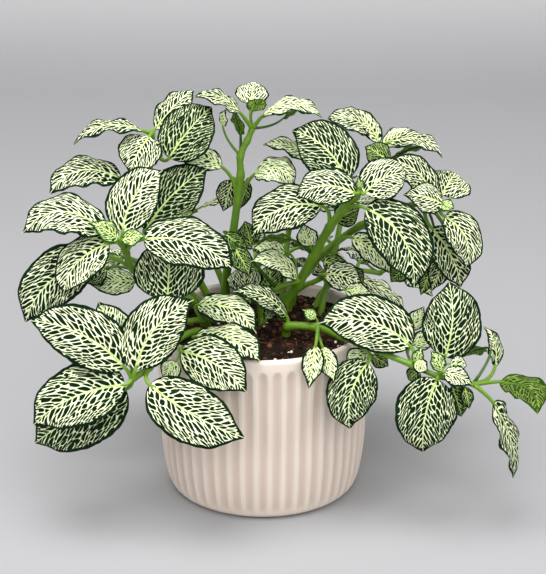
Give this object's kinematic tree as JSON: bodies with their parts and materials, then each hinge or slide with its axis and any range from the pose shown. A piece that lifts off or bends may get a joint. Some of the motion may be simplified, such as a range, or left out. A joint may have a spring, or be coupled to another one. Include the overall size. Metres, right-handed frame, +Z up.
{
  "type": "potted nerve plant",
  "caption": "Nerve plant with white-veined dark green leaves in opposite pairs on arching and trailing green stems, growing in soil in a fluted stoneware pot.",
  "frame": {"origin": "centre of the pot's flat foot, on the surface that the pot stands on", "axes": "+Z up; +X to the right and +Y away for someone who looks at the front of the plant"},
  "size_m": [0.3067, 0.2154, 0.242],
  "materials": {
    "pot": "satin",
    "soil": "matte",
    "foliage": "satin"
  },
  "bodies": {
    "root": {"pot": "pot", "soil": "soil", "stem_front_left": "foliage", "stem_left": "foliage", "stem_upper_left": "foliage", "stem_tall": "foliage", "stem_right_front": "foliage", "stem_upper_right": "foliage", "stem_right": "foliage", "stem_trailing": "foliage", "stem_front_short": "foliage", "stem_front_rim": "foliage", "stem_centre": "foliage", "stem_low_right": "foliage", "stem_back_left": "foliage", "stem_back_centre": "foliage", "stem_back_right": "foliage", "stem_back_upper_left": "foliage", "stem_back_upper_middle": "foliage", "stem_back_upper_right": "foliage"}
  },
  "joints": []
}
